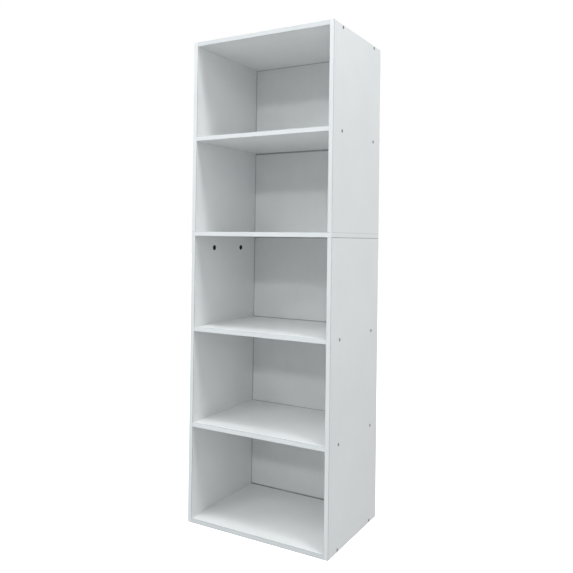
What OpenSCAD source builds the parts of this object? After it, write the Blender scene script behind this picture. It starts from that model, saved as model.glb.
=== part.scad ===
// Open bookcase in two cases: a lower case of three compartments, a full-width middle
// board on top of it, and an upper case of two compartments standing on that board.
// Millimetres, +Z up. The front faces -Y. The origin is on the floor, under the centre.

/* [Case] */
// Overall height
case_h = 1650; // [1500:10:1900]
// Overall width
case_w = 535; // [450:5:800]
// Overall depth, back sheets included
case_d = 383; // [333:5:433]
// Thickness of every board
board_t = 15; // [15:0.5:19]
// Thickness of the edging strip on each front edge
edging_t = 0.8; // [0.4:0.1:2]
// Gap between the rear edges of the boards that lie between the sides and the back sheets
rear_gap = 2; // [0.5:0.5:4]

/* [Back] */
// Thickness of the back sheets
back_t = 3; // [2.5:0.5:4]
// How far the back sheets stop short of the case's outline
back_inset = 2; // [1:0.5:4]
// Gap between the two back sheets
back_gap = 1; // [0.5:0.5:2]

/* [Case screws] */
// Length of a case screw
screw_len = 50; // [45:1:55]
// Diameter of the countersunk head
screw_head_d = 10; // [9:0.5:11]
// Diameter of the plain shoulder below the head
screw_shoulder_d = 7; // [6:0.5:7]
// Diameter over the thread crests
screw_crest_d = 6.6; // [6:0.1:6.8]
// Diameter of the thread core
screw_core_d = 5; // [4:0.1:5.4]
// Distance between thread crests
screw_pitch = 3; // [2.5:0.5:4]
// Width across the flats of the hexagon socket
screw_key = 4; // [3:0.5:5]
// From the front of the case to the front screws
screw_front = 66; // [50:1:90]
// From the rear edge of the boards to the rear screws
screw_rear = 60; // [50:1:90]

/* [Cam fittings] */
// Diameter of the cam's bore
cam_bore_d = 18; // [17:0.5:20]
// From the middle board's underside down to the cam's centre
cam_drop = 41; // [30:1:50]
// From the front of the case to the front cams
cam_front = 112; // [100:1:130]
// From the rear edge of the boards to the rear cams
cam_rear = 98; // [96:1:120]
// Turn of a cam from locked to released, in degrees
cam_turn = 180; // [170:1:190]
// Diameter of the bolt's shank
bolt_shank_d = 7; // [6.5:0.1:7]
// Diameter of the neck that the cam grips behind
bolt_neck_d = 4; // [3.5:0.1:4]
// Diameter of the bolt's head
bolt_head_d = 6.4; // [6:0.1:6.4]
// Diameter over the thread that holds in the upper side
bolt_crest_d = 6; // [5.5:0.1:6]
// Depth of that thread in the upper side
bolt_grip = 11; // [8:1:16]

/* [Nails] */
// Length of a back nail
nail_len = 22; // [18:1:25]
// Diameter of its shank
nail_d = 1.4; // [1.2:0.1:2]
// Diameter of its head
nail_head_d = 4; // [3:0.5:5]

/* [Hidden] */

// Colours
board_tone = "whitesmoke";
edging_tone = "white";
back_tone = "gainsboro";
steel_tone = "silver";
cam_tone = "dimgray";

// Levels of the lying boards, counted up from the floor
BOTTOM = 0;
SHELF_1 = 1;
SHELF_2 = 2;
MIDDLE = 3;
SHELF_3 = 4;
TOP = 5;
LOWER_BAYS = [BOTTOM, SHELF_1, SHELF_2];
UPPER_BAYS = [MIDDLE, SHELF_3];
BOTH_SIDES = [-1, 1];

// Case sizes that follow from the ones above
inner_w = case_w - 2 * board_t;
level_step = (case_h - board_t) / TOP;
front_y = -case_d / 2;
board_y0 = front_y + edging_t;
board_y1 = case_d / 2 - back_t;
joint_z0 = level_z(MIDDLE);
joint_z1 = joint_z0 + board_t;
fit_gap = 0.05;
cut_over = 1;

// Screw and thread details
screw_ys = [front_y + screw_front, board_y1 - screw_rear];
screw_head_h = 2.2;
head_recess = 0.2;
screw_tip_h = 3;
screw_socket_depth = 2.5;
thread_ridges = floor((screw_len - board_t - screw_tip_h - 1) / screw_pitch);
end_bore_over = 1;

// Cam details; depths are counted from the inner face of the side
cam_ys = [front_y + cam_front, board_y1 - cam_rear];
cam_z = joint_z0 - cam_drop;
cam_mid = board_t / 2;
cam_bore_depth = cam_mid + 5;
cam_recess = 0.5;
cam_floor_gap = 0.2;
cam_cavity_r = 6.8;
cam_cavity_w = bolt_head_d + 0.4;
cam_slot_w = bolt_neck_d + 0.4;
cam_slot_margin = 28;
cam_mouth_half = 42;
cam_cross = [10, 1.5];
cam_cross_depth = 2.2;
cam_arrow_r = 7.4;
cam_arrow_size = 1.8;
cam_arrow_depth = 0.5;

// Bolt details; heights are counted from the cam's centre
bolt_x = case_w / 2 - board_t / 2;
bolt_head_low = 1.5;
bolt_head_top = 5.4;
bolt_head_bevel = 0.8;
bolt_shank_low = cam_bore_d / 2 + 0.8;
bolt_shank_top = cam_drop + board_t;
bolt_pitch = 2;
bolt_core_d = 4.2;
bolt_ridges = floor((bolt_grip - 1) / bolt_pitch);

// Nail details
nail_head_h = 0.6;
nail_recess = 0.1;
nail_point_h = 2;
nail_spread = inner_w * 0.36;
nail_edge = 3.5;

$fn = 48;

function level_z(level) = level * level_step;
function board_mid_z(level) = level_z(level) + board_t / 2;

// Ring ridges that stand for a thread, as outline points going up from z0
function ridge_points(z0, count, pitch, core_d, crest_d) = [
    for (i = [0 : count - 1]) each [
        [core_d / 2, z0 + i * pitch],
        [crest_d / 2, z0 + (i + 0.4) * pitch],
        [crest_d / 2, z0 + (i + 0.5) * pitch],
        [core_d / 2, z0 + (i + 0.9) * pitch]
    ]
];

// Nail places as [x, z]: two per compartment in a side's edge, three in a board's edge
function side_nails(side, bays) = [
    for (bay = bays, part = [1, 2])
        [side * bolt_x, level_z(bay) + board_t + (level_step - board_t) * part / 3]
];
function board_nails(z) = [for (step = [-1, 0, 1]) [step * nail_spread, z]];
function lower_nails() = concat(
    side_nails(-1, LOWER_BAYS), side_nails(1, LOWER_BAYS),
    board_nails(board_mid_z(BOTTOM)), board_nails(board_mid_z(SHELF_1)),
    board_nails(board_mid_z(SHELF_2)), board_nails(joint_z0 + nail_edge)
);
function upper_nails() = concat(
    side_nails(-1, UPPER_BAYS), side_nails(1, UPPER_BAYS),
    board_nails(joint_z1 - nail_edge), board_nails(board_mid_z(SHELF_3)),
    board_nails(board_mid_z(TOP))
);

// ---- places: each puts a fitting drawn along Z, head up, where it goes ----

// On the outer face of the sides, pointing into the case
module at_screws(level, sides = BOTH_SIDES)
    for (side = sides, y = screw_ys)
        translate([side * case_w / 2, y, board_mid_z(level)])
            rotate([0, side * 90, 0])
                children();

// On the cams' centres, upright in the middle of the sides' thickness
module at_bolts(sides = BOTH_SIDES)
    for (side = sides, y = cam_ys)
        translate([side * bolt_x, y, cam_z])
            children();

// On a side's inner face, +Z out of the board and +Y up
module at_cam(side, y)
    translate([side * inner_w / 2, y, cam_z])
        rotate([90, 0, -90 * side])
            children();

// On the rear face of the back sheets, pointing forwards
module at_nails(places)
    for (place = places)
        translate([place[0], case_d / 2, place[1]])
            rotate([-90, 0, 0])
                children();

// ---- fittings and the holes they need ----

module case_screw()
    color(steel_tone)
    difference() {
        rotate_extrude()
            polygon(concat(
                [[0, -screw_len], [screw_core_d / 2, -screw_len + screw_tip_h]],
                ridge_points(-screw_len + screw_tip_h + 0.2, thread_ridges, screw_pitch,
                    screw_core_d, screw_crest_d),
                [
                    [screw_core_d / 2, -board_t + 0.2],
                    [screw_shoulder_d / 2, -board_t + 1],
                    [screw_shoulder_d / 2, -screw_head_h - head_recess],
                    [screw_head_d / 2, -head_recess],
                    [0, -head_recess]
                ]
            ));
        translate([0, 0, -head_recess - screw_socket_depth])
            cylinder(d = screw_key / cos(30), h = screw_socket_depth + cut_over, $fn = 6);
    }

// Stepped hole through a side
module screw_side_hole()
    rotate_extrude()
        polygon([
            [0, cut_over],
            [screw_head_d / 2 + fit_gap, cut_over],
            [screw_head_d / 2 + fit_gap, -head_recess],
            [screw_shoulder_d / 2 + fit_gap, -screw_head_h - head_recess],
            [screw_shoulder_d / 2 + fit_gap, -board_t - cut_over],
            [0, -board_t - cut_over]
        ]);

// Hole in the end of a lying board
module screw_end_hole()
    translate([0, 0, -screw_len - end_bore_over])
        cylinder(d = screw_crest_d + 2 * fit_gap, h = screw_len + end_bore_over - board_t / 2);

module back_nail()
    color(steel_tone)
    rotate_extrude()
        polygon([
            [0, -nail_len],
            [nail_d / 2, -nail_len + nail_point_h],
            [nail_d / 2, -nail_recess - nail_head_h],
            [nail_head_d / 2, -nail_recess - nail_head_h],
            [nail_head_d / 2, -nail_recess],
            [0, -nail_recess]
        ]);

module nail_hole() {
    translate([0, 0, -nail_len - fit_gap])
        cylinder(d = nail_d + 2 * fit_gap, h = nail_len + cut_over);
    translate([0, 0, -nail_recess - nail_head_h])
        cylinder(d = nail_head_d + 2 * fit_gap, h = nail_recess + nail_head_h + cut_over);
}

// A cam's bolt: head in the cam, shank through the middle board, thread in the upper side
module cam_bolt()
    color(steel_tone)
    rotate_extrude()
        polygon(concat(
            [
                [0, -bolt_head_low],
                [bolt_head_d / 2 - bolt_head_bevel, -bolt_head_low],
                [bolt_head_d / 2, -bolt_head_low + bolt_head_bevel],
                [bolt_head_d / 2, bolt_head_top - bolt_head_bevel],
                [bolt_head_d / 2 - bolt_head_bevel, bolt_head_top],
                [bolt_neck_d / 2, bolt_head_top],
                [bolt_neck_d / 2, bolt_shank_low],
                [bolt_shank_d / 2, bolt_shank_low],
                [bolt_shank_d / 2, bolt_shank_top],
                [bolt_core_d / 2, bolt_shank_top]
            ],
            ridge_points(bolt_shank_top + 0.5, bolt_ridges, bolt_pitch, bolt_core_d, bolt_crest_d),
            [
                [bolt_core_d / 2, bolt_shank_top + bolt_grip - 0.5],
                [0, bolt_shank_top + bolt_grip]
            ]
        ));

module bolt_shank_hole()
    cylinder(d = bolt_shank_d + 2 * fit_gap, h = bolt_shank_top + cut_over);

module bolt_thread_hole()
    cylinder(d = bolt_crest_d + 2 * fit_gap, h = bolt_shank_top + bolt_grip + end_bore_over);

module cam_bore()
    translate([0, 0, -cam_bore_depth])
        cylinder(d = cam_bore_d, h = cam_bore_depth + cut_over);

// Part of the cam's rim, from start and for sweep degrees, as a band of this width
module rim_band(start, sweep, width)
    rotate([0, 0, start])
        rotate_extrude(angle = sweep)
            translate([cam_cavity_r - 1, -cam_mid - width / 2])
                square([cam_bore_d / 2 - cam_cavity_r + 2, width]);

// Hollow disc: the bolt's head stands in its cavity and the neck passes through a slot
// in the rim, which opens at one end into a mouth wide enough for the head
module cam()
    color(cam_tone)
    difference() {
        translate([0, 0, -cam_bore_depth + cam_floor_gap])
            cylinder(d = cam_bore_d - 2 * fit_gap, h = cam_bore_depth - cam_floor_gap - cam_recess);
        translate([0, 0, -cam_mid - cam_cavity_w / 2])
            cylinder(r = cam_cavity_r, h = cam_cavity_w);
        rim_band(90 - cam_turn - cam_mouth_half, cam_turn + cam_mouth_half + cam_slot_margin, cam_slot_w);
        rim_band(90 - cam_turn - cam_mouth_half, 2 * cam_mouth_half, cam_cavity_w);
        for (turn = [0, 90])
            rotate([0, 0, turn])
                translate([-cam_cross[0] / 2, -cam_cross[1] / 2, -cam_recess - cam_cross_depth])
                    cube([cam_cross[0], cam_cross[1], cam_cross_depth + cut_over]);
        rotate([0, 0, 90 - cam_turn])
            translate([cam_arrow_r, 0, -cam_recess - cam_arrow_depth])
                linear_extrude(cam_arrow_depth + cut_over)
                    polygon([
                        [0.6, 0],
                        [-cam_arrow_size / 2, cam_arrow_size / 2],
                        [-cam_arrow_size / 2, -cam_arrow_size / 2]
                    ]);
    }

// ---- boards ----

// An upright board between two heights, on one side of the case
module side_blank(side, z0, z1)
    translate([side * bolt_x - board_t / 2, board_y0, z0])
        cube([board_t, board_y1 - board_y0, z1 - z0]);

// A lying board of this width, centred, with its underside at z and its rear edge at y1
module lying_blank(width, z, y1)
    translate([-width / 2, board_y0, z])
        cube([width, y1 - board_y0, board_t]);

module side_lower(side)
    color(board_tone)
    difference() {
        side_blank(side, 0, joint_z0);
        for (level = LOWER_BAYS)
            at_screws(level, [side]) screw_side_hole();
        for (y = cam_ys)
            at_cam(side, y) cam_bore();
        at_bolts([side]) bolt_shank_hole();
        at_nails(side_nails(side, LOWER_BAYS)) nail_hole();
    }

module side_upper(side)
    color(board_tone)
    difference() {
        side_blank(side, joint_z1, case_h);
        for (level = [SHELF_3, TOP])
            at_screws(level, [side]) screw_side_hole();
        at_bolts([side]) bolt_thread_hole();
        at_nails(side_nails(side, UPPER_BAYS)) nail_hole();
    }

module screwed_board(level)
    color(board_tone)
    difference() {
        lying_blank(inner_w, level_z(level), board_y1 - rear_gap);
        at_screws(level) screw_end_hole();
        at_nails(board_nails(board_mid_z(level))) nail_hole();
    }

module middle_board()
    color(board_tone)
    difference() {
        lying_blank(case_w, joint_z0, board_y1);
        at_bolts() bolt_shank_hole();
        at_nails(board_nails(joint_z0 + nail_edge)) nail_hole();
        at_nails(board_nails(joint_z1 - nail_edge)) nail_hole();
    }

// ---- edging strips ----

module edging_strip(x0, z0, width, height)
    color(edging_tone)
    translate([x0, front_y, z0])
        cube([width, edging_t, height]);

module side_edging(side, z0, z1)
    edging_strip(side * bolt_x - board_t / 2, z0, board_t, z1 - z0);

module lying_edging(width, level)
    edging_strip(-width / 2, level_z(level), width, board_t);

// ---- back sheets ----

module back_sheet(z0, z1, places)
    color(back_tone)
    difference() {
        translate([-case_w / 2 + back_inset, board_y1, z0])
            cube([case_w - 2 * back_inset, back_t, z1 - z0]);
        at_nails(places) nail_hole();
    }

module back_lower()
    back_sheet(back_inset, (joint_z0 + joint_z1 - back_gap) / 2, lower_nails());

module back_upper()
    back_sheet((joint_z0 + joint_z1 + back_gap) / 2, case_h - back_inset, upper_nails());

// ---- the pieces ----

side_lower(-1);  // side_lower_left
side_lower(1);  // side_lower_right
side_upper(-1);  // side_upper_left
side_upper(1);  // side_upper_right

screwed_board(BOTTOM);  // bottom_board
screwed_board(SHELF_1);  // shelf_1
screwed_board(SHELF_2);  // shelf_2
middle_board();
screwed_board(SHELF_3);  // shelf_3
screwed_board(TOP);  // top_board

side_edging(-1, 0, joint_z0);  // edging_side_lower_left
side_edging(1, 0, joint_z0);  // edging_side_lower_right
side_edging(-1, joint_z1, case_h);  // edging_side_upper_left
side_edging(1, joint_z1, case_h);  // edging_side_upper_right
lying_edging(inner_w, BOTTOM);  // edging_bottom_board
lying_edging(inner_w, SHELF_1);  // edging_shelf_1
lying_edging(inner_w, SHELF_2);  // edging_shelf_2
lying_edging(case_w, MIDDLE);  // edging_middle_board
lying_edging(inner_w, SHELF_3);  // edging_shelf_3
lying_edging(inner_w, TOP);  // edging_top_board

back_lower();
back_upper();
at_nails(lower_nails()) back_nail();  // nails_back_lower
at_nails(upper_nails()) back_nail();  // nails_back_upper

at_screws(BOTTOM) case_screw();  // screws_bottom_board
at_screws(SHELF_1) case_screw();  // screws_shelf_1
at_screws(SHELF_2) case_screw();  // screws_shelf_2
at_screws(SHELF_3) case_screw();  // screws_shelf_3
at_screws(TOP) case_screw();  // screws_top_board

at_bolts() cam_bolt();  // cam_bolts
at_cam(-1, cam_ys[0]) cam();  // cam_left_front
at_cam(-1, cam_ys[1]) cam();  // cam_left_rear
at_cam(1, cam_ys[0]) cam();  // cam_right_front
at_cam(1, cam_ys[1]) cam();  // cam_right_rear
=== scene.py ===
"""Looks for the open bookcase: melamine boards with edging, hardboard back, steel fittings."""

import math

import bmesh
import bpy
from mathutils import Matrix, Vector


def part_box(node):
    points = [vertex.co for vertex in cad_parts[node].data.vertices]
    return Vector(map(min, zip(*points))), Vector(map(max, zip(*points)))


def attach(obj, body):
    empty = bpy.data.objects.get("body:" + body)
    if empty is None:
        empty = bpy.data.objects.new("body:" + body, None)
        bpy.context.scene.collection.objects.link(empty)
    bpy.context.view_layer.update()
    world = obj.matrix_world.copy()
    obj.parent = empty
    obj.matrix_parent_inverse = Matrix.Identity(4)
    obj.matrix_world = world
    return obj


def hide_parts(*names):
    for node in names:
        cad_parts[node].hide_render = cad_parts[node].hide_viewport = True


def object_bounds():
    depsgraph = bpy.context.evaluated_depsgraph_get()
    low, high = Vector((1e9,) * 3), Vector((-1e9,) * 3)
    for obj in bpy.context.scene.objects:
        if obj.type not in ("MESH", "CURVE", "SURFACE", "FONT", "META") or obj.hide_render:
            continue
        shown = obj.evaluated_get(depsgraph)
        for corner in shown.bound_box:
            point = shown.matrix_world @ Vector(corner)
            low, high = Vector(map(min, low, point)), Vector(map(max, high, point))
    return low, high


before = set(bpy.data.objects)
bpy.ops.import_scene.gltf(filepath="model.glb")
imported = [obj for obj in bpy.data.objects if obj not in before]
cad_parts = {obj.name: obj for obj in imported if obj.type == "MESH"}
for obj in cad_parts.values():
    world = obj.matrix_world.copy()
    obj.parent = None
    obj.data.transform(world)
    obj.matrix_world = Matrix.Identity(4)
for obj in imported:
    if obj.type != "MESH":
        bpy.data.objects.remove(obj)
cad_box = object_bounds()

CASE = "case"
MM = 0.001

# The boards, by how they stand, with their edging strips
SIDES = ("side_lower_left", "side_lower_right", "side_upper_left", "side_upper_right")
SCREWED = ("bottom_board", "shelf_1", "shelf_2", "shelf_3", "top_board")
MIDDLE = "middle_board"
# The bottom and top boards' edging strips get a darker copy of the edging colour: painted shade
PAINTED_SHADE_STRIPS = ("edging_bottom_board", "edging_top_board")
CAMS = ("cam_left_front", "cam_left_rear", "cam_right_front", "cam_right_rear")

# Bevels and roundings of the edges, in metres
FOIL_BEVEL = 0.3 * MM
GLUE_BEVEL = 0.5 * MM
CHIPPED_BEVEL = 1.4 * MM
SEAM_BEVEL = 1.1 * MM
EDGING_RADIUS = 0.7 * MM
EDGING_STEPS = 5

# How close two places are when they count as the same edge or face
NEAR = 2 * MM
CLOSE = 1 * MM

# Holes in the sides: depths below the face, and how far their rims widen
OVERSHOOT = 1 * MM
SCREW_HOLE_DEPTH = 5 * MM
SCREW_SHANK_SHARE = 0.72
SCREW_SHANK_TOP = 2.6 * MM
SCREW_HEAD_GAP = 0.15 * MM
SCREW_RIM_DEPTH = 0.3 * MM
SCREW_RIM_WIDTH = 0.35 * MM
CAM_GAP = 0.05 * MM
CAM_FLOOR_GAP = 0.8 * MM
CAM_RIM_DEPTH = 0.35 * MM
CAM_RIM_WIDTH = 0.5 * MM
RIM_LIFT = 0.05 * MM
ROUND_STEPS = 48
SMOOTH_ANGLE = math.radians(40)

# The screen print on the back's rear, in radians per metre, and the painted shade on its front
SCREEN_TURN = 3900
PAINTED_SHADE_TONE = (0.05, 0.05, 0.052)
PAINTED_SHADE_MOST = 0.95

# Studio
LIGHT_COLOUR = (0.971, 1.0, 1.012)
FLOOR_REACH = 30
AIM = Vector((0, 0, 0.9))
SCRIM_INSET = 1 * MM
SCRIM_LIFT = 5 * MM


# ---------------------------------------------------------------- shader helpers

class Shader:
    """A material's node tree, with a Principled shader and short calls that add nodes to it."""

    def __init__(self, name):
        self.material = bpy.data.materials.new(name)
        self.material.use_nodes = True
        self.nodes = self.material.node_tree.nodes
        self.links = self.material.node_tree.links
        self.surface = self.nodes["Principled BSDF"]
        self.place = self.nodes.new("ShaderNodeTexCoord").outputs["Object"]

    def set(self, **values):
        for name, value in values.items():
            self.surface.inputs[name.replace("_", " ")].default_value = value

    def link(self, source, socket):
        self.links.new(source, self.surface.inputs[socket])

    def scaled(self, scale):
        """The object's own coordinates, in metres, times a scale along each axis."""
        node = self.nodes.new("ShaderNodeMapping")
        node.inputs["Scale"].default_value = scale
        self.links.new(self.place, node.inputs["Vector"])
        return node.outputs["Vector"]

    def noise(self, scale, detail=2.0, roughness=0.5, vector=None):
        node = self.nodes.new("ShaderNodeTexNoise")
        node.inputs["Scale"].default_value = scale
        node.inputs["Detail"].default_value = detail
        node.inputs["Roughness"].default_value = roughness
        self.links.new(vector or self.place, node.inputs["Vector"])
        return node.outputs["Fac"]

    def cells(self, scale, feature="F1", vector=None, output="Distance"):
        node = self.nodes.new("ShaderNodeTexVoronoi")
        node.feature = feature
        node.inputs["Scale"].default_value = scale
        self.links.new(vector or self.place, node.inputs["Vector"])
        return node.outputs[output]

    def ramp(self, value, stops):
        """Colours at places from 0 to 1, as (place, (r, g, b)) pairs."""
        node = self.nodes.new("ShaderNodeValToRGB")
        elements = node.color_ramp.elements
        while len(elements) < len(stops):
            elements.new(0.5)
        for element, (place, colour) in zip(elements, stops):
            element.position = place
            element.color = (*colour, 1)
        self.links.new(value, node.inputs["Fac"])
        return node.outputs["Color"]

    def spread(self, value, low, high, new_low=0.0, new_high=1.0):
        """value, taken from low..high to new_low..new_high and held there."""
        node = self.nodes.new("ShaderNodeMapRange")
        for name, number in (
            ("From Min", low), ("From Max", high), ("To Min", new_low), ("To Max", new_high),
        ):
            node.inputs[name].default_value = number
        self.links.new(value, node.inputs["Value"])
        return node.outputs["Result"]

    def maths(self, operation, first, second=0):
        node = self.nodes.new("ShaderNodeMath")
        node.operation = operation
        for socket, value in zip(node.inputs, (first, second)):
            if isinstance(value, (int, float)):
                socket.default_value = value
            else:
                self.links.new(value, socket)
        return node.outputs["Value"]

    def mix(self, factor, first, second):
        node = self.nodes.new("ShaderNodeMix")
        node.data_type = "RGBA"
        factor_socket, first_socket, second_socket = (node.inputs[i] for i in (0, 6, 7))
        for socket, value in (
            (factor_socket, factor), (first_socket, first), (second_socket, second),
        ):
            if isinstance(value, (int, float)):
                socket.default_value = value
            elif isinstance(value, tuple):
                socket.default_value = (*value, 1)
            else:
                self.links.new(value, socket)
        return node.outputs[2]

    def axis(self, name):
        """One of the object's own coordinates, in metres."""
        node = self.nodes.new("ShaderNodeSeparateXYZ")
        self.links.new(self.place, node.inputs["Vector"])
        return node.outputs[name]

    def bump(self, height, strength, distance, before=None):
        node = self.nodes.new("ShaderNodeBump")
        node.inputs["Strength"].default_value = strength
        node.inputs["Distance"].default_value = distance
        self.links.new(height, node.inputs["Height"])
        if before:
            self.links.new(before, node.inputs["Normal"])
        return node.outputs["Normal"]


def tint(colour, factor):
    return tuple(channel * factor for channel in colour)


# ---------------------------------------------------------------- materials

def melamine(name, colour, gloss_low, gloss_high):
    """White melamine foil: a fine pearl grain, slow tone drift, dust specks and faint scuffs."""
    shader = Shader(name)
    drift = shader.noise(3.5, 4, 0.55)
    cloud = shader.noise(24, 3, 0.5)
    paper = shader.mix(shader.spread(drift, 0.3, 0.7), tint(colour, 0.965), tint(colour, 1.02))
    paper = shader.mix(shader.spread(cloud, 0.35, 0.75, 0, 0.35), paper, tint(colour, 0.975))
    speck = shader.spread(shader.cells(160), 0.0, 0.035, 0.5, 0)
    rare = shader.spread(shader.noise(70, 1), 0.6, 0.68)
    paper = shader.mix(shader.maths("MULTIPLY", speck, rare), paper, tint(colour, 0.62))
    shader.link(paper, "Base Color")

    scuff_lines = shader.noise(55, 5, 0.65, shader.scaled((1.0, 9.0, 0.8)))
    scuffs = shader.spread(scuff_lines, 0.6, 0.72, 0, 0.12)
    gloss = shader.spread(shader.noise(45, 3), 0.3, 0.7, gloss_low, gloss_high)
    shader.link(shader.maths("ADD", gloss, scuffs), "Roughness")

    pearl = shader.noise(1400, 2, 0.6)
    waves = shader.noise(120, 2, 0.5)
    normal = shader.bump(waves, 0.10, 0.15 * MM)
    shader.link(shader.bump(pearl, 0.22, 0.06 * MM, normal), "Normal")
    shader.set(Specular_IOR_Level=0.42, Coat_Weight=0.08, Coat_Roughness=0.22)
    return shader.material


def edging(name, colour):
    """Extruded edging strip: smoother than foil, faint draw lines and a little handling wear."""
    shader = Shader(name)
    along = shader.noise(60, 3, 0.5, shader.scaled((0.15, 1, 0.15)))
    tone = shader.mix(shader.spread(along, 0.3, 0.7), tint(colour, 0.97), tint(colour, 1.015))
    worn = shader.spread(shader.noise(38, 5, 0.7), 0.62, 0.74, 0, 0.5)
    tone = shader.mix(worn, tone, tint(colour, 0.92))
    shader.link(tone, "Base Color")
    shader.link(shader.spread(shader.noise(180, 3), 0.3, 0.7, 0.3, 0.44), "Roughness")
    lines = shader.noise(900, 2, 0.5, shader.scaled((0.06, 1, 0.06)))
    shader.link(shader.bump(lines, 0.18, 0.05 * MM), "Normal")
    shader.set(Specular_IOR_Level=0.45)
    return shader.material


def chipboard(name):
    """Sawn chipboard: flat wood flakes in tan and brown with dark pores between them."""
    shader = Shader(name)
    flakes = shader.cells(260, vector=shader.scaled((0.5, 1, 0.9)), output="Color")
    wood = shader.ramp(flakes, [
        (0.0, (0.16, 0.09, 0.045)),
        (0.4, (0.34, 0.22, 0.12)),
        (0.75, (0.50, 0.36, 0.22)),
        (1.0, (0.62, 0.48, 0.32)),
    ])
    pores = shader.spread(shader.cells(420, "DISTANCE_TO_EDGE"), 0.0, 0.10, 0.75, 0)
    shader.link(shader.mix(pores, wood, (0.07, 0.04, 0.02)), "Base Color")
    shader.link(shader.spread(shader.noise(300, 2), 0.3, 0.7, 0.8, 0.95), "Roughness")
    shader.link(shader.bump(shader.noise(700, 4, 0.7), 0.6, 0.25 * MM), "Normal")
    shader.set(Specular_IOR_Level=0.2)
    return shader.material


def seam_glue_and_painted_shade(name):
    """Dark glue in the small grooves where board and edging meet, and painted shade in the grooves
    where two boards meet and on the rims of the cam holes.
    """
    shader = Shader(name)
    # The near-black tone drifts at random: glue at the edging, painted shade in the other grooves
    painted_shade = shader.spread(shader.noise(90, 4, 0.6), 0.35, 0.7)
    shader.link(shader.mix(painted_shade, (0.03, 0.03, 0.032), (0.10, 0.098, 0.095)), "Base Color")
    shader.link(shader.spread(shader.noise(400, 2), 0.3, 0.7, 0.75, 0.95), "Roughness")
    shader.link(shader.bump(shader.noise(900, 3), 0.4, 0.1 * MM), "Normal")
    shader.set(Specular_IOR_Level=0.2)
    return shader.material


def back_sheet(name, front_colour, split_y, inner_x, levels):
    """Thin hardboard: lacquered white in front of split_y, bare brown with a screen print behind.
    The lacquer is darkened with painted shade beside the sides (inner_x from the middle) and at
    the
    boards: levels lists (lowest z, highest z, reach) of them."""
    shader = Shader(name)
    drift = shader.noise(5, 4, 0.6)
    lacquer = shader.mix(
        shader.spread(drift, 0.3, 0.7), tint(front_colour, 0.96), tint(front_colour, 1.02)
    )
    streaks = shader.noise(30, 4, 0.6, shader.scaled((3.0, 1, 0.12)))
    streak = shader.spread(streaks, 0.4, 0.75, 0, 0.4)
    lacquer = shader.mix(streak, lacquer, tint(front_colour, 0.965))

    # Painted shade: a dark band on the lacquer just beside the sides and along each board where it
    # meets the back
    aside = shader.maths("SUBTRACT", shader.maths("ABSOLUTE", shader.axis("X")), inner_x)
    painted_shade = shader.spread(aside, -2.0 * MM, 1.0 * MM, 0, PAINTED_SHADE_MOST)
    for low, high, reach in levels:
        middle, half = (low + high) / 2, (high - low) / 2
        off = shader.maths("ABSOLUTE", shader.maths("SUBTRACT", shader.axis("Z"), middle))
        close = shader.spread(off, half, half + reach, PAINTED_SHADE_MOST, 0)
        painted_shade = shader.maths("MAXIMUM", painted_shade, close)
    uneven = shader.spread(shader.noise(9, 3), 0.3, 0.7, 0.7, 1.0)
    lacquer = shader.mix(shader.maths("MULTIPLY", painted_shade, uneven), lacquer, PAINTED_SHADE_TONE)

    fibre = shader.noise(240, 5, 0.7, shader.scaled((1, 1, 0.55)))
    brown = shader.ramp(fibre, [
        (0.25, (0.10, 0.055, 0.03)),
        (0.5, (0.20, 0.115, 0.06)),
        (0.8, (0.31, 0.19, 0.105)),
    ])
    across = shader.maths("SINE", shader.maths("MULTIPLY", shader.axis("X"), SCREEN_TURN))
    upwards = shader.maths("SINE", shader.maths("MULTIPLY", shader.axis("Z"), SCREEN_TURN))
    screen = shader.maths("MULTIPLY", across, upwards)

    behind = shader.maths("GREATER_THAN", shader.axis("Y"), split_y)
    shader.link(shader.mix(behind, lacquer, brown), "Base Color")
    sheen = shader.spread(shader.noise(60, 3), 0.3, 0.7, 0.42, 0.55)
    shader.link(shader.maths("ADD", sheen, shader.maths("MULTIPLY", behind, 0.35)), "Roughness")
    relief = shader.maths("MULTIPLY", screen, behind)
    normal = shader.bump(relief, 0.5, 0.12 * MM)
    shader.link(shader.bump(shader.noise(420, 3, 0.6), 0.16, 0.08 * MM, normal), "Normal")
    shader.set(Specular_IOR_Level=0.35)
    return shader.material


def metal(name, colour, rough_low, rough_high, stain, stain_colour):
    """Plated or drawn metal: cloudy plating, fine tool marks and patches of stain."""
    shader = Shader(name)
    clouds = shader.spread(shader.noise(260, 4), 0.3, 0.7)
    cloudy = shader.mix(clouds, tint(colour, 0.85), tint(colour, 1.1))
    patches = shader.spread(shader.noise(420, 5, 0.7), 0.5, 0.72, 0, stain)
    shader.link(shader.mix(patches, cloudy, stain_colour), "Base Color")
    shader.link(shader.spread(shader.noise(900, 3), 0.3, 0.7, rough_low, rough_high), "Roughness")
    marks = shader.noise(2600, 2, 0.5, shader.scaled((0.2, 1, 1)))
    shader.link(shader.bump(marks, 0.25, 0.03 * MM), "Normal")
    shader.set(Metallic=1.0)
    return shader.material


def floor_finish(name):
    """Plain pale studio floor."""
    shader = Shader(name)
    tone = shader.spread(shader.noise(1.2, 3), 0.3, 0.7)
    shader.link(shader.mix(tone, (0.90, 0.905, 0.905), (0.93, 0.93, 0.93)), "Base Color")
    shader.link(shader.spread(shader.noise(9, 3), 0.3, 0.7, 0.75, 0.9), "Roughness")
    shader.link(shader.bump(shader.noise(160, 3), 0.05, 0.2 * MM), "Normal")
    shader.set(Specular_IOR_Level=0.15, Emission_Color=(1, 1, 1, 1), Emission_Strength=0.75)
    return shader.material


WHITE = (0.861, 0.870, 0.872)
STRIP_WHITE = (0.800, 0.822, 0.832)
BACK_WHITE = (0.816, 0.829, 0.832)
back_front_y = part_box("back_lower")[0].y
back_rear_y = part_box("back_lower")[1].y

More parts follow.
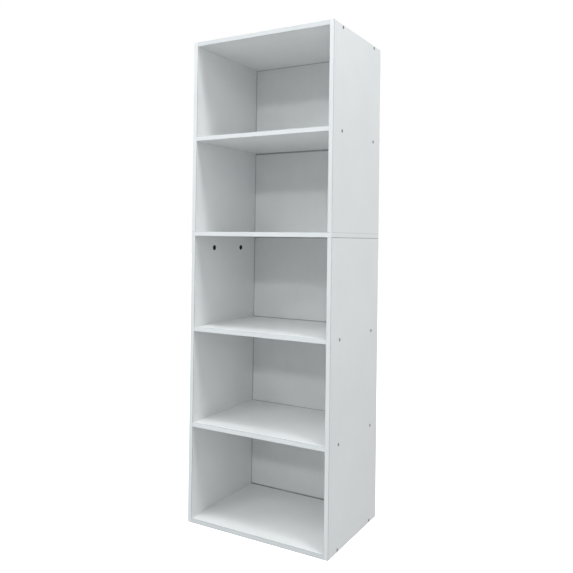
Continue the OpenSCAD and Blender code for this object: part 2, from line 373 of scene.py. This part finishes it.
# How far the painted shade line on the back reaches beyond each board, in millimetres
PAINTED_SHADE_REACH = {
    "bottom_board": 5.6, "shelf_1": 0.6, "shelf_2": 3.2,
    "middle_board": 4.2, "shelf_3": 6.6, "top_board": 1.0,
}
painted_shade_levels = [
    (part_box(board)[0].z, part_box(board)[1].z, reach * MM) for board, reach in PAINTED_SHADE_REACH.items()
]

foil = melamine("melamine_foil", WHITE, 0.34, 0.46)
strip = edging("edging_strip", STRIP_WHITE)
painted_shade_strip = edging("edging_strip_painted_shade", tint(STRIP_WHITE, 0.88))
# Darker edging for the rounded arrises: partly scraped edge, partly painted shade
trimmed_and_shaded = edging("edging_trimmed_and_shaded", tint(STRIP_WHITE, 0.62))
raw = chipboard("raw_chipboard")
glue_and_shade = seam_glue_and_painted_shade("seam_glue_and_painted_shade")
hardboard = back_sheet(
    "back_hardboard", BACK_WHITE, back_front_y + 0.4 * (back_rear_y - back_front_y),
    -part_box("side_lower_left")[1].x, painted_shade_levels,
)
zinc = metal("zinc_plate", (0.50, 0.51, 0.52), 0.28, 0.42, 0.35, (0.22, 0.22, 0.22))
wire = metal("nail_wire", (0.50, 0.50, 0.49), 0.35, 0.5, 0.5, (0.20, 0.17, 0.14))
# The cams are painted near black: painted shade standing for the dark cam holes
cam_painted_shade = metal("cam_casting_painted_shade", (0.036, 0.037, 0.039), 0.42, 0.6, 0.5, (0.02, 0.02, 0.02))


# ---------------------------------------------------------------- mesh helpers

def as_mesh(bm, name, materials):
    """Turns a built mesh into a mesh of the scene that has these materials."""
    mesh = bpy.data.meshes.new(name)
    bm.to_mesh(mesh)
    bm.free()
    for material in materials:
        mesh.materials.append(material)
    return mesh


def finish_piece(mesh, name, node):
    """Makes a piece of this mesh, with clean shading, that stands for a CAD node of the case."""
    mesh.shade_smooth()
    mesh.set_sharp_from_angle(angle=SMOOTH_ANGLE)
    piece = bpy.data.objects.new(name, mesh)
    bpy.context.scene.collection.objects.link(piece)
    weighted = piece.modifiers.new("face_weighted_normals", "WEIGHTED_NORMAL")
    weighted.keep_sharp = True
    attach(piece, CASE)
    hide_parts(node)
    return piece


def edge_axis(edge):
    """0, 1 or 2 for an edge that runs along X, Y or Z."""
    run = edge.verts[1].co - edge.verts[0].co
    return max(range(3), key=lambda i: abs(run[i]))


def board_solid(low, high, bevels):
    """A block between two corners. bevels lists (test, width, steps): the edges for which the
    test of their middle and direction is true get that bevel."""
    bm = bmesh.new()
    bmesh.ops.create_cube(bm, size=1.0)
    size, middle = high - low, (low + high) / 2
    for vertex in bm.verts:
        vertex.co = Vector(vertex.co[i] * size[i] for i in range(3)) + middle
    for test, width, steps in bevels:
        chosen = [e for e in bm.edges if test((e.verts[0].co + e.verts[1].co) / 2, edge_axis(e))]
        bmesh.ops.bevel(
            bm, geom=chosen, offset=width, offset_type="OFFSET", segments=steps, profile=0.5,
            affect="EDGES", clamp_overlap=True,
        )
    return bm


def turned(bm, outline, place, direction, index, rim_index=None):
    """Adds a solid of revolution: outline is (radius, height) points, heights along direction.
    Its faces have index, and those at a slant, such as a rim's chamfer, rim_index if given."""
    turn = direction.to_track_quat("Z", "Y").to_matrix().to_4x4()
    rings = []
    for radius, height in outline:
        if radius == 0:
            rings.append([bm.verts.new(place + turn @ Vector((0, 0, height)))])
            continue
        ring = []
        for step in range(ROUND_STEPS):
            angle = 2 * math.pi * step / ROUND_STEPS
            spoke = Vector((radius * math.cos(angle), radius * math.sin(angle), height))
            ring.append(bm.verts.new(place + turn @ spoke))
        rings.append(ring)
    for lower, upper, (radius, height), (next_radius, next_height) in zip(
        rings, rings[1:], outline, outline[1:]
    ):
        slanted = radius != next_radius and height != next_height
        finish = rim_index if slanted and rim_index is not None else index
        for step in range(ROUND_STEPS):
            nxt = (step + 1) % ROUND_STEPS
            if len(lower) == 1:
                corners = (lower[0], upper[nxt], upper[step])
            elif len(upper) == 1:
                corners = (lower[step], lower[nxt], upper[0])
            else:
                corners = (lower[step], lower[nxt], upper[nxt], upper[step])
            bm.faces.new(corners).material_index = finish
    bmesh.ops.recalc_face_normals(bm, faces=bm.faces)


def cut_holes(block, holes):
    """The block's mesh with the closed solids of the other mesh cut out of it, as a new mesh."""
    parts = [bpy.data.objects.new(mesh.name, mesh) for mesh in (block, holes)]
    for part in parts:
        bpy.context.scene.collection.objects.link(part)
    cut = parts[0].modifiers.new("cut", "BOOLEAN")
    cut.object, cut.operation, cut.solver = parts[1], "DIFFERENCE", "EXACT"
    bpy.context.view_layer.update()
    graph = bpy.context.evaluated_depsgraph_get()
    result = bpy.data.meshes.new_from_object(parts[0].evaluated_get(graph))
    for part in parts:
        bpy.data.objects.remove(part)
    for mesh in (block, holes):
        bpy.data.meshes.remove(mesh)
    return result


# SEAM faces get the dark finish: glue at the edging, painted shade at the board seams and cam hole
# rims
FOIL, RAW, SEAM = 0, 1, 2
BOARD_FINISHES = (foil, raw, glue_and_shade)


def paint(bm, index, is_it):
    """Gives one finish to the faces for which is_it is true, from their middle and normal."""
    for face in bm.faces:
        if is_it(face.calc_center_median(), face.normal):
            face.material_index = index


# ---------------------------------------------------------------- boards

def screw_places(node):
    """The (y, z) of the screws through one board's ends, from their group's box."""
    low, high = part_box(node)
    radius = (high.z - low.z) / 2
    return [(y, low.z + radius) for y in (low.y + radius, high.y - radius)], radius


def make_side(node):
    """A side board: drilled for its screws and cams, edged at the front, bare behind and below."""
    low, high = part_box(node)
    outward = 1 if low.x > 0 else -1
    outer, inner = (high.x, low.x) if outward > 0 else (low.x, high.x)
    upper = low.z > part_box(MIDDLE)[0].z
    seam_z = low.z if upper else high.z

    def near(value, target):
        return abs(value - target) < NEAR

    def rear_inner(middle, axis):
        return axis == 2 and near(middle.y, high.y) and near(middle.x, inner)

    def front(middle, axis):
        return near(middle.y, low.y) and axis != 1

    def seam(middle, axis):
        return near(middle.z, seam_z) and axis == 1 and near(middle.x, outer)

    def others(middle, axis):
        return not (rear_inner(middle, axis) or front(middle, axis) or seam(middle, axis)) and (
            near(middle.y, high.y) or near(middle.z, low.z) or near(middle.z, high.z)
        ) and (axis != 2 or near(middle.x, outer))

    bm = board_solid(low, high, [
        (rear_inner, CHIPPED_BEVEL, 1),
        (front, GLUE_BEVEL, 1),
        (seam, FOIL_BEVEL if upper else SEAM_BEVEL, 2),
        (others, FOIL_BEVEL, 2),
    ])
    top_z = high.z if upper else None

    def bare(middle, normal):
        if abs(normal.x) > 0.95:
            return False
        return top_z is None or normal.z < 0.3

    # The groove faces get the dark finish: glue at the front edging, painted shade at the seam
    # between the cases
    def groove(middle, normal):
        slanted = abs(normal.x) > 0.3 and max(abs(normal.y), abs(normal.z)) > 0.3
        return slanted and (middle.y < low.y + CLOSE or abs(middle.z - seam_z) < CLOSE)

    paint(bm, RAW, bare)
    paint(bm, SEAM, groove)

    holes = bmesh.new()
    out = Vector((outward, 0, 0))
    for group in ("screws_" + board for board in SCREWED):
        places, radius = screw_places(group)
        for y, z in places:
            if not low.z < z < high.z:
                continue
            shank = radius * SCREW_SHANK_SHARE
            bore = radius + SCREW_HEAD_GAP
            rim = bore + SCREW_RIM_WIDTH
            turned(holes, [
                (0, -SCREW_HOLE_DEPTH), (shank, -SCREW_HOLE_DEPTH), (shank, -SCREW_SHANK_TOP),
                (bore, -SCREW_RIM_DEPTH), (rim, RIM_LIFT), (rim, OVERSHOOT), (0, OVERSHOOT),
            ], Vector((outer, y, z)), out, RAW)
    for cam in CAMS:
        cam_low, cam_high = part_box(cam)
        middle = (cam_low + cam_high) / 2
        if not (low.x < middle.x < high.x and low.z < middle.z < high.z):
            continue
        radius = (cam_high.z - cam_low.z) / 2 + CAM_GAP
        rim = radius + CAM_RIM_WIDTH
        depth = cam_high.x - cam_low.x + CAM_FLOOR_GAP
        # The rim chamfer of each cam hole gets the painted shade finish
        turned(holes, [
            (0, -depth), (radius, -depth), (radius, -CAM_RIM_DEPTH),
            (rim, RIM_LIFT), (rim, OVERSHOOT), (0, OVERSHOOT),
        ], Vector((inner, middle.y, middle.z)), -out, RAW, rim_index=SEAM)
    block = as_mesh(bm, node, BOARD_FINISHES)
    mesh = cut_holes(block, as_mesh(holes, node + "_holes", BOARD_FINISHES))
    return finish_piece(mesh, node + "_board", node)


def make_lying_board(node, full_width):
    """A lying board: edged at the front, bare behind, and at its ends unless they show."""
    low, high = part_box(node)

    def front(middle, axis):
        return abs(middle.y - low.y) < CLOSE and axis != 1

    def rest(middle, axis):
        return not front(middle, axis) and (full_width or axis == 0)

    bm = board_solid(low, high, [(front, GLUE_BEVEL, 1), (rest, FOIL_BEVEL, 2)])

    def bare(middle, normal):
        return abs(normal.y) > 0.3 or (abs(normal.x) > 0.95 and not full_width)

    def groove(middle, normal):
        return middle.y < low.y + CLOSE and abs(normal.y) > 0.3 and abs(normal.z) > 0.3

    paint(bm, RAW, bare)
    paint(bm, SEAM, groove)
    return finish_piece(as_mesh(bm, node, BOARD_FINISHES), node + "_board", node)


def make_edging(node):
    """An edging strip: flat where it is glued, with both long outer edges scraped round and
    painted darker there, partly as a scraped edge and partly as painted shade.
    """
    low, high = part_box(node)
    upright = high.z - low.z > high.x - low.x
    across = (low.x, high.x) if upright else (low.z, high.z)
    along = (low.z, high.z) if upright else (low.x, high.x)
    rear, front = high.y, low.y

    turns = [math.pi / 2 * step / EDGING_STEPS for step in range(EDGING_STEPS + 1)]
    outline = [(across[0], rear)]
    for end, sign in ((across[0], 1), (across[1], -1)):
        arc = [
            (
                end + sign * EDGING_RADIUS * (1 - math.cos(angle)),
                front + EDGING_RADIUS * (1 - math.sin(angle)),
            )
            for angle in turns
        ]
        outline += arc if sign > 0 else arc[::-1]
    outline.append((across[1], rear))

    bm = bmesh.new()
    ends = []
    for place in along:
        ends.append([
            bm.verts.new((a, y, place) if upright else (place, y, a)) for a, y in outline
        ])
    bm.faces.new(ends[0])
    bm.faces.new(ends[1][::-1])
    # These rounding faces get the darker finish: partly scraped edge, partly painted shade
    scraped = (*range(1, EDGING_STEPS + 1), *range(EDGING_STEPS + 2, 2 * EDGING_STEPS + 2))
    for i in range(len(outline)):
        j = (i + 1) % len(outline)
        face = bm.faces.new((ends[0][i], ends[1][i], ends[1][j], ends[0][j]))
        face.material_index = int(i in scraped)
    bmesh.ops.recalc_face_normals(bm, faces=bm.faces)
    # The bottom and top strips take the darker painted shade copy of the edging
    plain = painted_shade_strip if node in PAINTED_SHADE_STRIPS else strip
    return finish_piece(as_mesh(bm, node, (plain, trimmed_and_shaded)), node + "_strip", node)


for side in SIDES:
    make_side(side)
for board in SCREWED:
    make_lying_board(board, full_width=False)
make_lying_board(MIDDLE, full_width=True)
for board in (*SIDES, *SCREWED, MIDDLE):
    make_edging("edging_" + board)


# ---------------------------------------------------------------- CAD nodes that stay

def dress(node, material):
    """Gives a CAD node its finished material."""
    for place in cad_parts[node].material_slots:
        place.material = material


for sheet in ("back_lower", "back_upper"):
    dress(sheet, hardboard)
for group in ("nails_back_lower", "nails_back_upper"):
    dress(group, wire)
for board in SCREWED:
    dress("screws_" + board, zinc)
dress("cam_bolts", zinc)
for cam in CAMS:
    dress(cam, cam_painted_shade)


# ---------------------------------------------------------------- floor, light and camera

def make_floor():
    """A wide pale floor that neither lights the object nor blocks light from below."""
    bm = bmesh.new()
    bmesh.ops.create_grid(bm, x_segments=4, y_segments=4, size=FLOOR_REACH)
    mesh = as_mesh(bm, "floor", (floor_finish("studio_floor"),))
    floor = bpy.data.objects.new("floor", mesh)
    bpy.context.scene.collection.objects.link(floor)
    floor.visible_diffuse = False
    floor.visible_glossy = False
    floor.visible_shadow = False


def make_scrim(clear):
    """A studio net just over the case that lets this part of the light through, so that the top
    face, which all the high lamps reach, keeps its tone and its seams instead of burning out."""
    low, high = cad_box
    middle = (low + high) / 2
    bm = bmesh.new()
    bmesh.ops.create_grid(bm, x_segments=1, y_segments=1, size=0.5)
    for vertex in bm.verts:
        vertex.co = Vector((
            middle.x + vertex.co.x * (high.x - low.x - 2 * SCRIM_INSET),
            middle.y + vertex.co.y * (high.y - low.y - 2 * SCRIM_INSET),
            high.z + SCRIM_LIFT,
        ))
    net = bpy.data.materials.new("scrim_net")
    net.use_nodes = True
    nodes = net.node_tree.nodes
    nodes.remove(nodes["Principled BSDF"])
    veil = nodes.new("ShaderNodeBsdfTransparent")
    veil.inputs["Color"].default_value = (clear, clear, clear, 1)
    net.node_tree.links.new(veil.outputs["BSDF"], nodes["Material Output"].inputs["Surface"])
    scrim = bpy.data.objects.new("scrim", as_mesh(bm, "scrim", (net,)))
    bpy.context.scene.collection.objects.link(scrim)
    scrim.visible_camera = False


def make_world(ground, sky, left, right, backdrop):
    """Soft light all round, with levels for the ground and the sky, more light from the far left
    and right, and a backdrop that only the camera sees."""
    world = bpy.data.worlds.new("studio")
    bpy.context.scene.world = world
    world.use_nodes = True
    nodes, links = world.node_tree.nodes, world.node_tree.links
    nodes.clear()
    direction = nodes.new("ShaderNodeTexCoord").outputs["Generated"]
    split = nodes.new("ShaderNodeSeparateXYZ")
    links.new(direction, split.inputs["Vector"])

    def bands(axis, stops):
        """Background light by one axis of the direction, from -1 to 1."""
        reach = nodes.new("ShaderNodeMapRange")
        reach.inputs["From Min"].default_value = -1
        links.new(split.outputs[axis], reach.inputs["Value"])
        ramp = nodes.new("ShaderNodeValToRGB")
        elements = ramp.color_ramp.elements
        while len(elements) < len(stops):
            elements.new(0.5)
        for element, (place, level) in zip(elements, stops):
            element.position = place
            element.color = (*tint(LIGHT_COLOUR, level), 1)
        links.new(reach.outputs["Result"], ramp.inputs["Fac"])
        light = nodes.new("ShaderNodeBackground")
        links.new(ramp.outputs["Color"], light.inputs["Color"])
        return light.outputs["Background"]

    soft = nodes.new("ShaderNodeAddShader")
    links.new(bands("Z", ((0.46, ground), (0.54, sky))), soft.inputs[0])
    links.new(bands("X", ((0.2, left), (0.3, 0.0), (0.7, 0.0), (0.8, right))), soft.inputs[1])
    white = nodes.new("ShaderNodeBackground")
    white.inputs["Color"].default_value = (*backdrop, 1)
    seen = nodes.new("ShaderNodeLightPath").outputs["Is Camera Ray"]
    mix = nodes.new("ShaderNodeMixShader")
    links.new(seen, mix.inputs["Fac"])
    links.new(soft.outputs["Shader"], mix.inputs[1])
    links.new(white.outputs["Background"], mix.inputs[2])
    output = nodes.new("ShaderNodeOutputWorld")
    links.new(mix.outputs["Shader"], output.inputs["Surface"])


def make_lamp(name, place, size, watts):
    """A square soft lamp of this size at place, turned to the object's middle."""
    lamp = bpy.data.lights.new(name, "AREA")
    lamp.size = size
    lamp.energy = watts
    lamp.color = LIGHT_COLOUR
    holder = bpy.data.objects.new(name, lamp)
    holder.location = place
    holder.rotation_euler = (AIM - Vector(place)).to_track_quat("-Z", "Y").to_euler()
    bpy.context.scene.collection.objects.link(holder)


def make_camera(place, yaw, pitch, roll, lens, shift_y):
    """The camera, from its place, its turn to the left, its tilt up and its roll, in degrees."""
    data = bpy.data.cameras.new("camera")
    data.sensor_width = 36
    data.lens = lens
    data.shift_y = shift_y
    camera = bpy.data.objects.new("camera", data)
    turn = Matrix.Rotation(math.radians(yaw), 4, "Z")
    tilt = Matrix.Rotation(math.radians(90 + pitch), 4, "X")
    spin = Matrix.Rotation(math.radians(roll), 4, "Z")
    camera.matrix_world = Matrix.Translation(place) @ turn @ tilt @ spin
    bpy.context.scene.collection.objects.link(camera)
    bpy.context.scene.camera = camera


make_floor()
make_scrim(clear=0.70)
make_world(ground=0.465, sky=0.345, left=0.295, right=0.125, backdrop=(1.0, 1.0, 1.0))
for lamp, place, size, watts in (
    ("left_lamp", (-4.25, -2.45, 4.35), 1.6, 61),
    ("left_front_lamp", (-2.1, -4.45, 4.35), 1.6, 67),
    ("left_high_lamp", (-1.35, -2.9, 6.0), 1.6, 24),
    ("right_lamp", (3.15, -3.75, 4.35), 1.6, 24),
    ("right_high_lamp", (3.15, 0.55, 6.0), 1.6, 78),
    ("front_lamp", (0.9, -6.9, 4.1), 0.5, 75),
    ("ceiling_lamp_near", (2.2, -0.9, 5.2), 0.6, 47),
    ("ceiling_lamp_middle", (2.2, -1.2, 5.2), 0.6, 36),
    ("ceiling_lamp_far", (2.2, -1.5, 5.2), 0.6, 18),
):
    make_lamp(lamp, place, size, watts)
make_camera(
    (1.140, -1.9945, 0.975), yaw=29.775, pitch=0.74, roll=0.75, lens=41.2, shift_y=-0.098,
)

settings = bpy.context.scene.view_settings
settings.view_transform = "Standard"
settings.look = "None"
